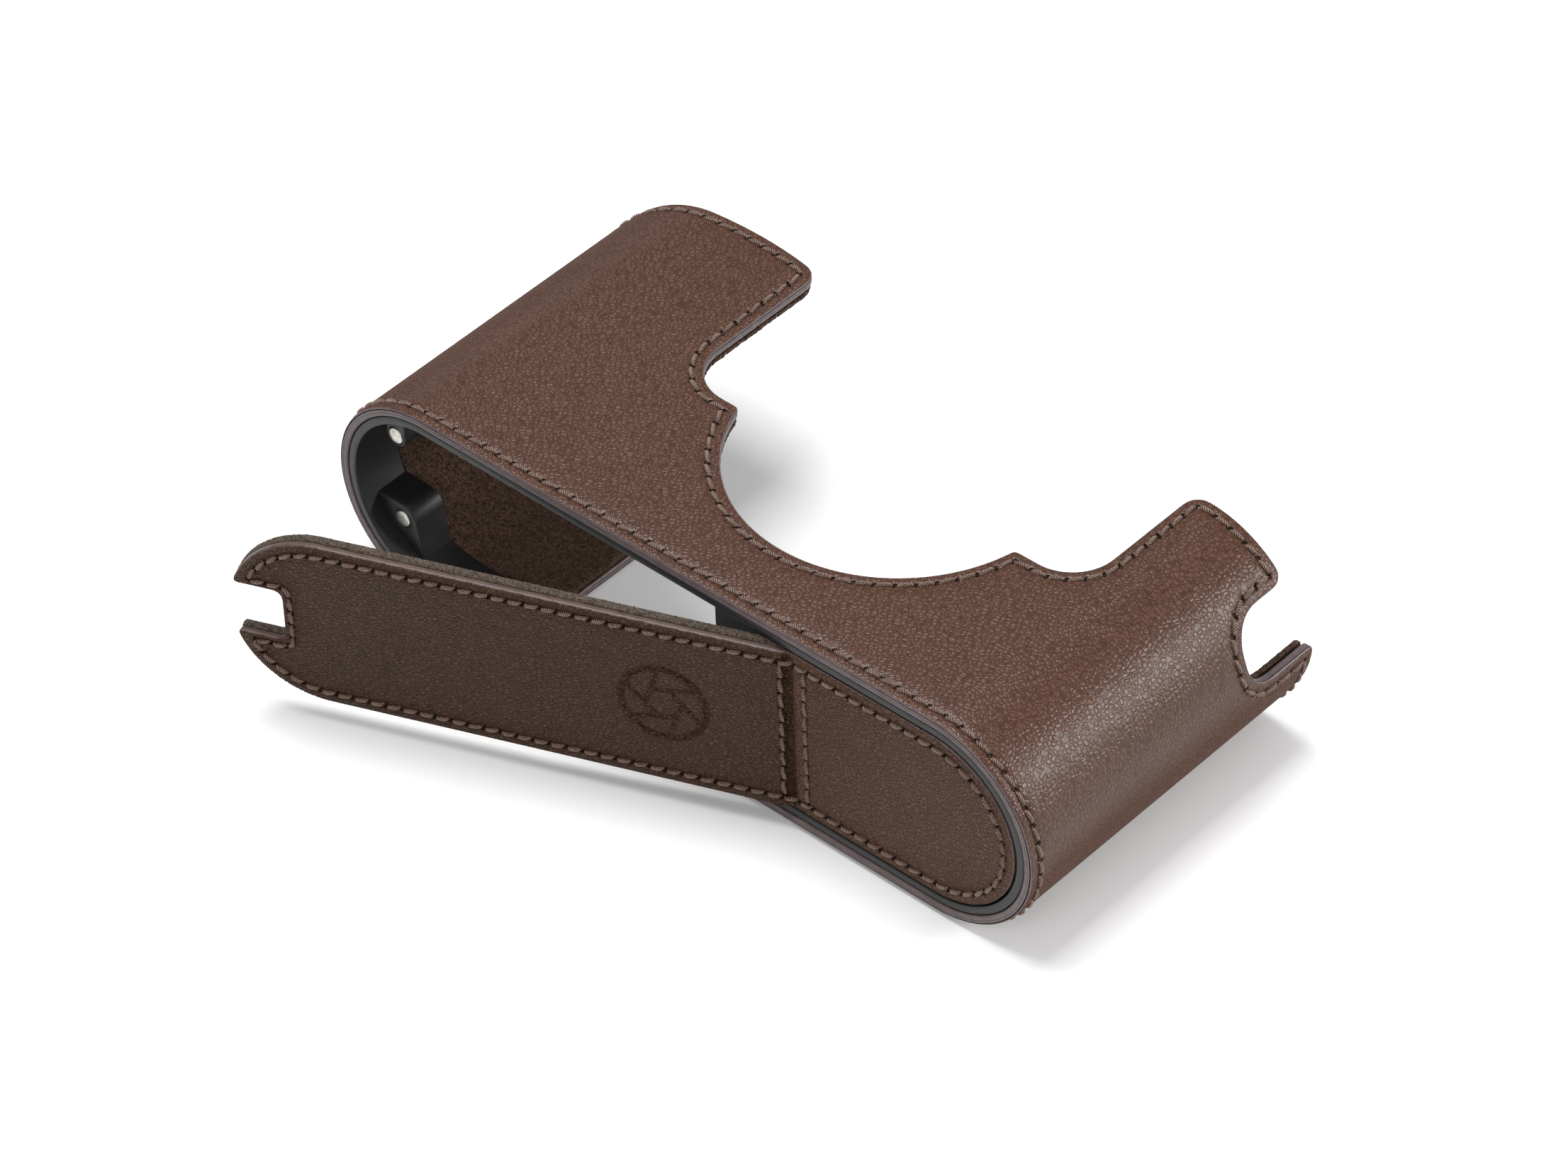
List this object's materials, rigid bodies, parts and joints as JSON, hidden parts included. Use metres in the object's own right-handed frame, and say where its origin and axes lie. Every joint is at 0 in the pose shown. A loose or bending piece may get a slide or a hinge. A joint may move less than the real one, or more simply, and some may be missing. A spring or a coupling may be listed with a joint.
{
  "type": "leather half case for a camera",
  "caption": "Leather half case for a compact camera: stadium-section wrap with a lens cut-out, open back, strap-lug notches and a bottom flap on a leather fold held shut by magnets.",
  "frame": {"origin": "on the resting back face, in the middle of the bottom edge", "axes": "+X along the case towards its narrow front wing, +Y from the bottom edge towards the open top, +Z from the back panel to the front panel (the case lies on its back)"},
  "size_m": [0.1444, 0.103, 0.0396],
  "materials": {
    "shell_leather": "smooth dyed leather, satin",
    "flap_leather": "grained dyed leather, satin",
    "shell_suede": "dark brown suede",
    "flap_suede": "grey-brown microfibre suede",
    "board": "black fibre board",
    "frame_plastic": "matt black moulded plastic",
    "thread": "twisted two-ply thread",
    "magnet_nickel": "nickel plated, satin"
  },
  "bodies": {
    "case": {"shell_leather": "shell_leather", "shell_stiffener": "board", "shell_lining": "shell_suede", "thread_shell_bottom": "thread", "thread_shell_top": "thread", "chassis_ring": "frame_plastic", "base_plate": "frame_plastic", "frame_magnet_front": "magnet_nickel", "frame_magnet_back": "magnet_nickel", "pad_board": "board", "pad_leather": "flap_leather", "thread_pad_edge": "thread", "thread_pad_cross": "thread", "fold_spine": "flap_leather"},
    "flap": {"flap_leather": "flap_leather", "flap_board": "board", "flap_lining": "flap_suede", "flap_magnet_front": "magnet_nickel", "flap_magnet_back": "magnet_nickel", "thread_flap_edge": "thread", "thread_flap_cross": "thread"}
  },
  "joints": [
    {"name": "flap_hinge", "type": "hinge", "parent": "case", "child": "flap", "pos_m": [0.025, 0, 0.0198], "axis": [0, 0, 1], "range_deg": [-22, 118]}
  ]
}
